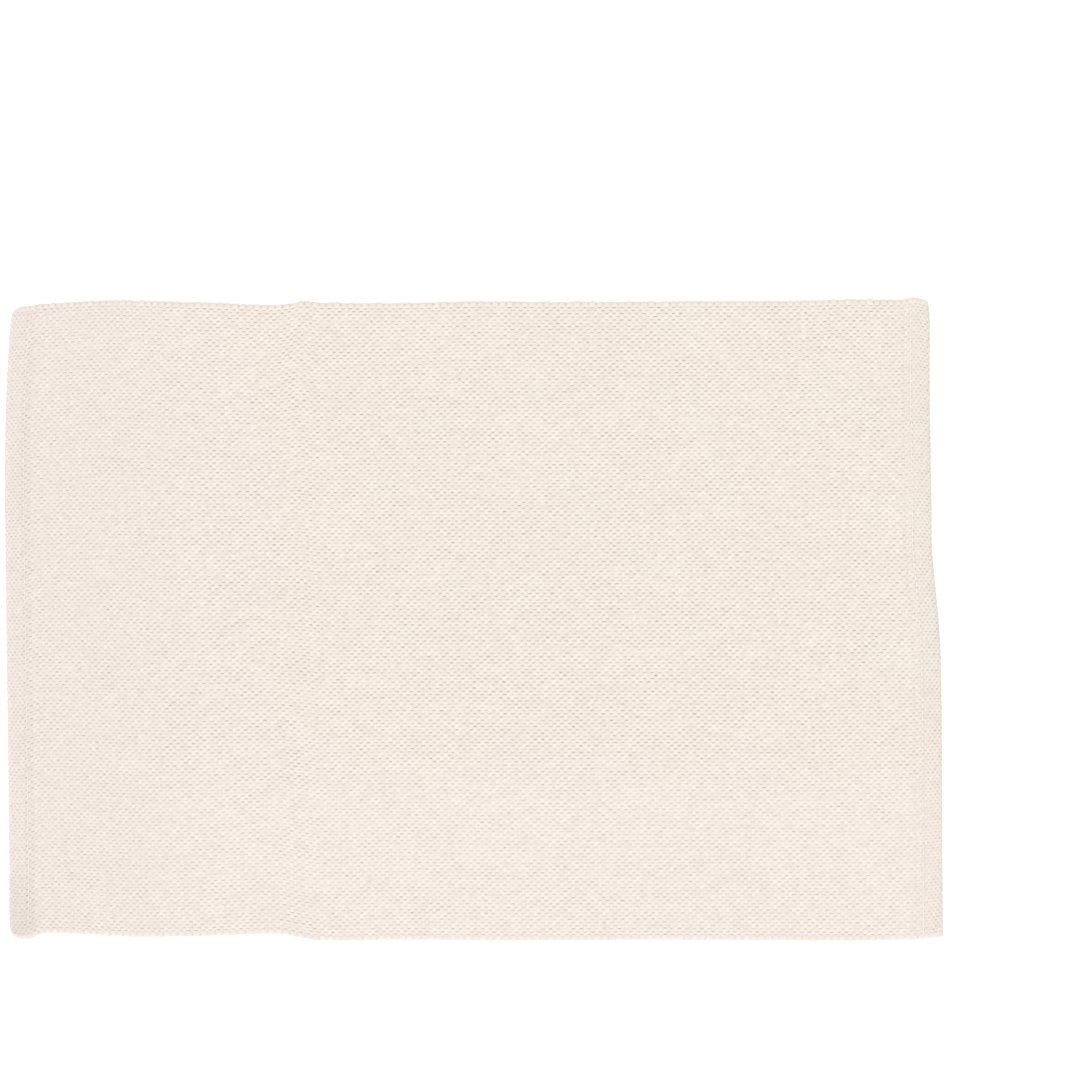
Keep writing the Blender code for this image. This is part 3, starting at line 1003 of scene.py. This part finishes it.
def cotton_material():
    material = bpy.data.materials.new("natural_cotton")
    nodes = Nodes(material)
    shader = nodes.shader
    shader.inputs["Roughness"].default_value = COTTON_ROUGHNESS
    shader.inputs["Specular IOR Level"].default_value = COTTON_SPECULAR
    shader.inputs["Sheen Weight"].default_value = COTTON_SHEEN
    shader.inputs["Sheen Roughness"].default_value = SHEEN_ROUGHNESS

    yarns = nodes.new("ShaderNodeUVMap", uv_map="weave").outputs[0]
    place = nodes.new("ShaderNodeTexCoord").outputs["Object"]
    blotches = nodes.stretched_noise(place, BLOTCH_SCALE, detail=3.0)
    patches = nodes.stretched_noise(place, PATCH_SCALE, detail=4.0, roughness=0.6)
    fibres = nodes.stretched_noise(yarns, FIBRE_SCALE, detail=3.0, roughness=0.6)
    slubs = nodes.stretched_noise(yarns, SLUB_SCALE)

    patchy = nodes.math("MULTIPLY", patches, PATCH_GAIN)
    blush = nodes.math("MULTIPLY", nodes.attribute("blush"), patchy, clamp=True)
    colour = nodes.mix(blush, nodes.mix(blotches, COTTON_LIGHT, COTTON_WARM), COTTON_PINK)

    fibre_part = nodes.math("MULTIPLY", fibres, FIBRE_BRIGHTNESS)
    slub_part = nodes.math("MULTIPLY", slubs, SLUB_BRIGHTNESS)
    # The yarns' random brightness, with painted highlights on floats and loops and painted shade in the dips
    # and at a corner
    tone_and_light_part = nodes.math("MULTIPLY", nodes.attribute("tone_and_painted_light"), TONE_AND_LIGHT_BRIGHTNESS)
    bright = nodes.math("ADD", nodes.math("ADD", fibre_part, slub_part), BRIGHTNESS)
    bright = nodes.math("ADD", bright, tone_and_light_part)
    grey = nodes.new("ShaderNodeCombineColor")
    for socket in grey.inputs[:3]:
        nodes.link(bright, socket)
    colour = nodes.mix(1.0, colour, grey.outputs[0], "MULTIPLY")
    # Painted shade: slots, notches and the gap in the hems are darkened towards a brown by their shade
    # attribute
    painted_shade_share = nodes.math("MULTIPLY", nodes.attribute("shade"), SLOT_PAINTED_SHADE_STRENGTH, clamp=True)
    nodes.link(nodes.mix(painted_shade_share, colour, SLOT_PAINTED_SHADE_COLOUR), shader.inputs["Base Color"])

    yarn_numbers = nodes.new("ShaderNodeSeparateXYZ")
    nodes.link(yarns, yarn_numbers.inputs[0])
    along = nodes.math("MULTIPLY", yarn_numbers.outputs[0], PLY_TURNS[0])
    across = nodes.math("MULTIPLY", yarn_numbers.outputs[1], PLY_TURNS[1])
    ply = nodes.math("SINE", nodes.math("MULTIPLY", nodes.math("ADD", along, across), 2 * pi))
    bump = nodes.new("ShaderNodeBump")
    bump.inputs["Strength"].default_value = BUMP_STRENGTH
    bump.inputs["Distance"].default_value = BUMP_DISTANCE
    nodes.link(nodes.math("ADD", fibres, nodes.math("MULTIPLY", ply, PLY_HEIGHT)), bump.inputs["Height"])
    nodes.link(bump.outputs[0], shader.inputs["Normal"])
    return material


def thread_material():
    material = bpy.data.materials.new("sewing_thread")
    nodes = Nodes(material)
    shader = nodes.shader
    shader.inputs["Roughness"].default_value = THREAD_ROUGHNESS
    yarns = nodes.new("ShaderNodeUVMap", uv_map="weave").outputs[0]
    fibres = nodes.stretched_noise(yarns, THREAD_FIBRE_SCALE)
    nodes.link(nodes.mix(fibres, THREAD_LIGHT, THREAD_DARK), shader.inputs["Base Color"])
    return material


# ---- Studio ----

WHITE = (1.0, 1.0, 1.0, 1.0)
FLOOR_SIDE = 16.0  # in metres, as the camera's height is
FLOOR_DROP = 0.05 * MM  # so that the floor and the underside don't share a plane
FLOOR_COLOUR = (0.92, 0.92, 0.92, 1.0)
FLOOR_ROUGHNESS = 0.9
FLOOR_GLOW = 0.22
SKY_LIGHT = 1.0
KEY_STRENGTH = 0.95
KEY_SOFTNESS = 0.9  # how wide the sun looks, in radians
KEY_TILT = 0.75
KEY_TURN = atan2(-0.35, 0.9)
FRAME_WIDTH = 559.4 * MM  # what the camera sees of the mat's plane
FRAME_MIDDLE = (34.3 * MM, 41.1 * MM)  # over the plane, from the mat's middle
CAMERA_HEIGHT = 3.2
CAMERA_REACH = 100
SENSOR = 36.0


def add_floor():
    bpy.ops.mesh.primitive_plane_add(size=FLOOR_SIDE, location=(0, 0, -FLOOR_DROP))
    floor = bpy.context.object
    floor.name = "floor"
    material = bpy.data.materials.new("white_floor")
    nodes = Nodes(material)
    nodes.shader.inputs["Base Color"].default_value = FLOOR_COLOUR
    nodes.shader.inputs["Roughness"].default_value = FLOOR_ROUGHNESS
    nodes.shader.inputs["Emission Color"].default_value = WHITE
    nodes.shader.inputs["Emission Strength"].default_value = FLOOR_GLOW
    floor.data.materials.append(material)


def add_light():
    world = bpy.data.worlds.new("studio")
    world.use_nodes = True
    sky = world.node_tree.nodes["Background"]
    sky.inputs["Color"].default_value = WHITE
    sky.inputs["Strength"].default_value = SKY_LIGHT
    bpy.context.scene.world = world
    key = bpy.data.objects.new("key", bpy.data.lights.new("key", "SUN"))
    key.data.energy = KEY_STRENGTH
    key.data.angle = KEY_SOFTNESS
    key.rotation_euler = (KEY_TILT, 0.0, KEY_TURN)
    bpy.context.scene.collection.objects.link(key)


def add_camera():
    camera = bpy.data.objects.new("camera", bpy.data.cameras.new("camera"))
    camera.data.sensor_width = SENSOR
    camera.data.lens = SENSOR * (CAMERA_HEIGHT - CLOTH_THICKNESS) / FRAME_WIDTH
    camera.data.clip_end = CAMERA_REACH
    camera.location = (*FRAME_MIDDLE, CAMERA_HEIGHT)
    bpy.context.scene.collection.objects.link(camera)
    bpy.context.scene.camera = camera
    bpy.context.scene.view_settings.view_transform = "Standard"


def add_placemat():
    cotton = cotton_material()
    thread = thread_material()
    strips, rims = weave_pieces(cotton)
    joined = {
        "hem_left": [add_stitches("stitches_left", -1, thread)],
        "hem_right": [add_stitches("stitches_right", 1, thread)],
        "body_1": [
            add_underside(cotton),
            add_selvedge("selvedge_top", 1, rims[1], cotton),
            add_selvedge("selvedge_bottom", -1, rims[-1], cotton),
        ],
    }


add_camera()
add_light()
add_floor()
add_placemat()
